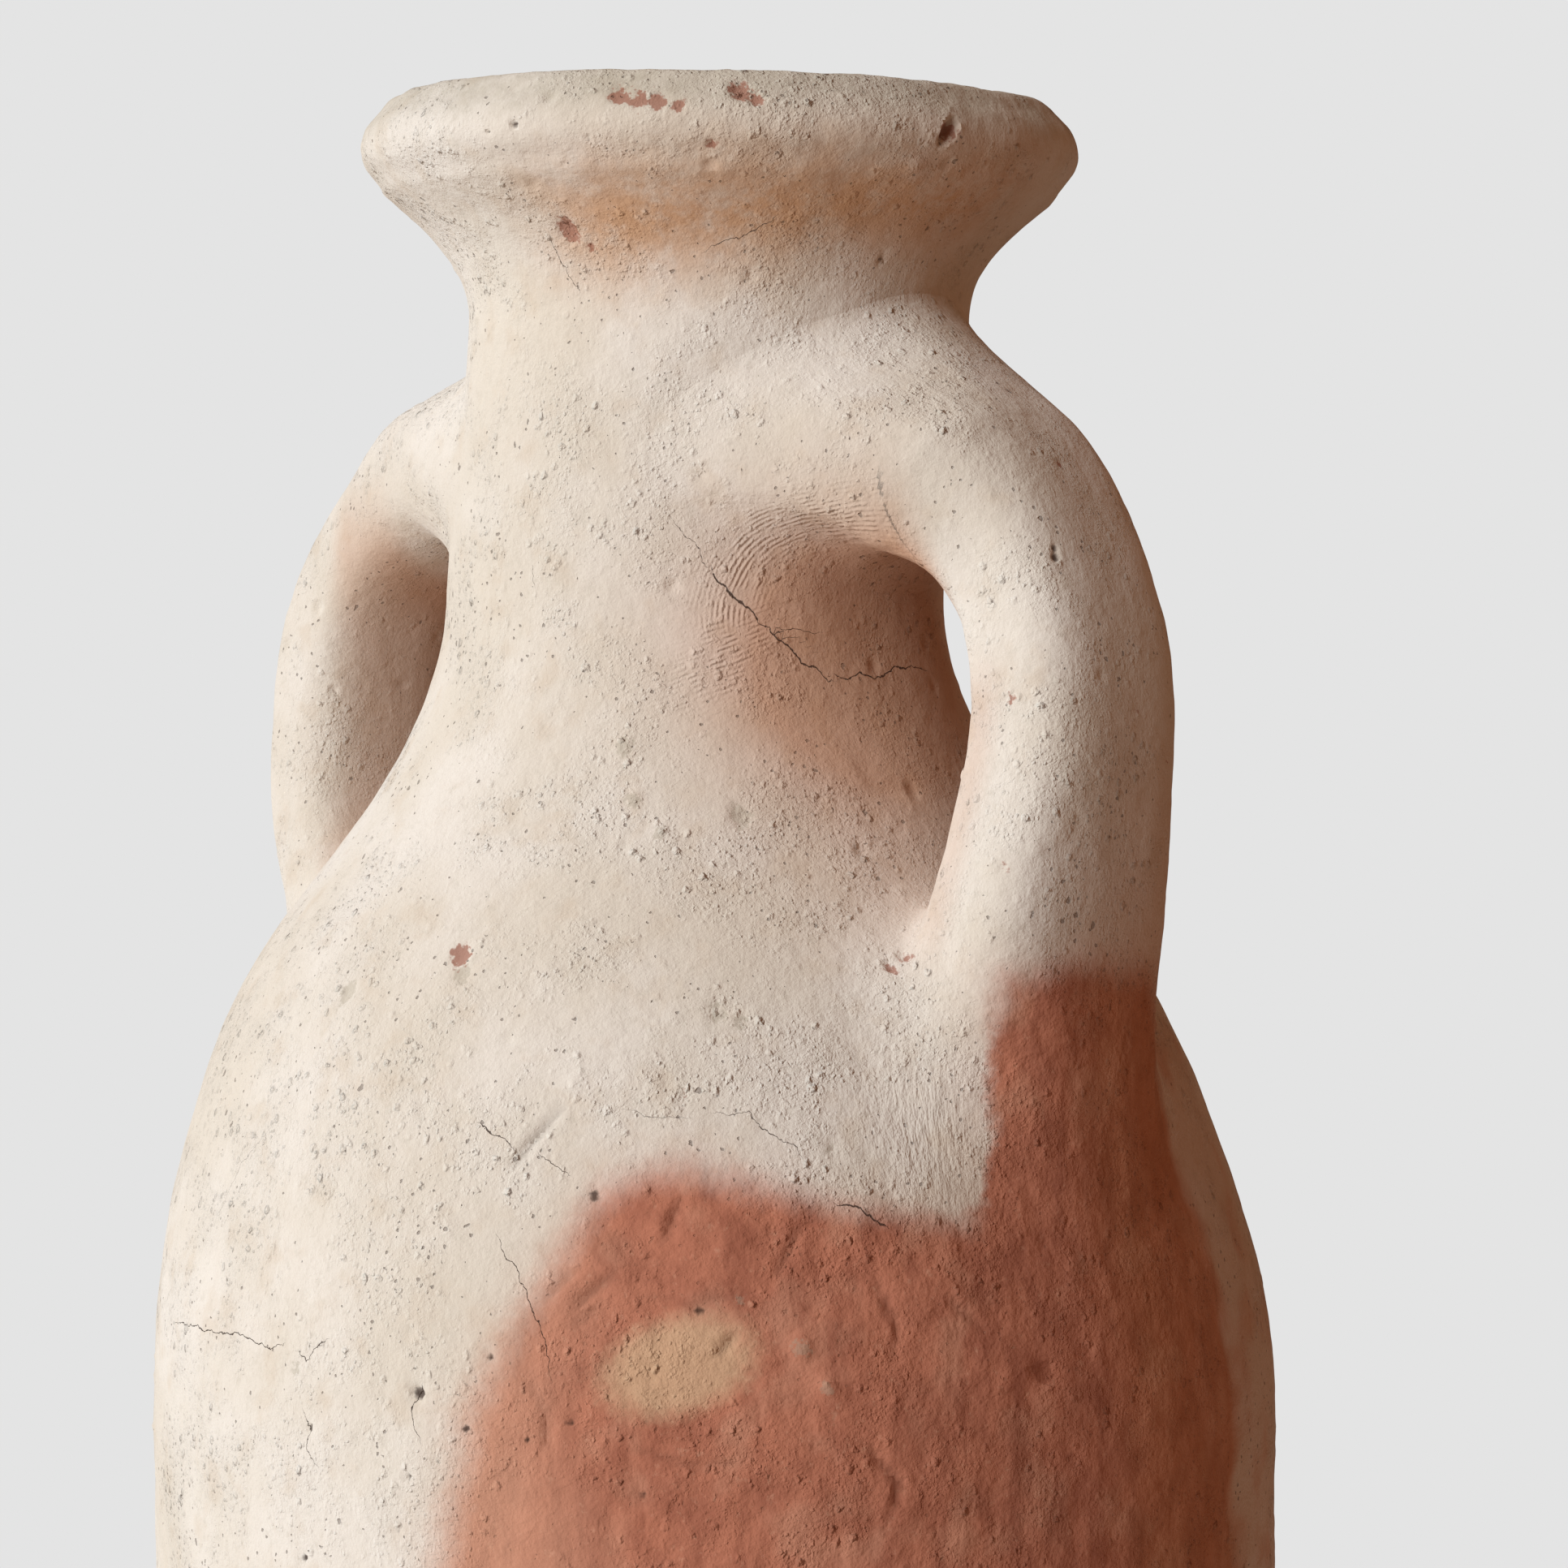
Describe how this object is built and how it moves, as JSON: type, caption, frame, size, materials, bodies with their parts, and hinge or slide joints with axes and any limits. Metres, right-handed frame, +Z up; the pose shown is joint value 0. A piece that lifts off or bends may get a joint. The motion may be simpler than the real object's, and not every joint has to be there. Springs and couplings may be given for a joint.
{
  "type": "two-handled amphora",
  "caption": "Tall round-bellied clay amphora with a narrow neck, a thick rolled lip, a flat base and loop handles from neck to shoulder.",
  "frame": {"origin": "middle of the flat base, on the face it stands on", "axes": "+Z up through the mouth, the handles lie along +X and -X"},
  "size_m": [0.185, 0.185, 0.4],
  "materials": {
    "bloomed_clay": "matt unglazed earthenware under a pale chalky bloom, worn to red clay in patches",
    "base_clay": "matt bare red earthenware, scraped flat and gritty",
    "inner_clay": "matt bare earthenware, finger-pressed"
  },
  "bodies": {
    "root": {"base_slab": "base_clay", "lower_wall": "bloomed_clay", "belly_wall": "bloomed_clay", "shoulder_wall": "bloomed_clay", "neck": "bloomed_clay", "rolled_lip": "bloomed_clay", "base_seam_coil": "inner_clay", "lower_seam_coil": "inner_clay", "belly_seam_coil": "inner_clay", "neck_seam_coil": "inner_clay", "handle_right": "bloomed_clay", "handle_left": "bloomed_clay", "right_neck_wad": "bloomed_clay", "right_shoulder_wad": "bloomed_clay", "left_neck_wad": "bloomed_clay", "left_shoulder_wad": "bloomed_clay"}
  },
  "joints": []
}
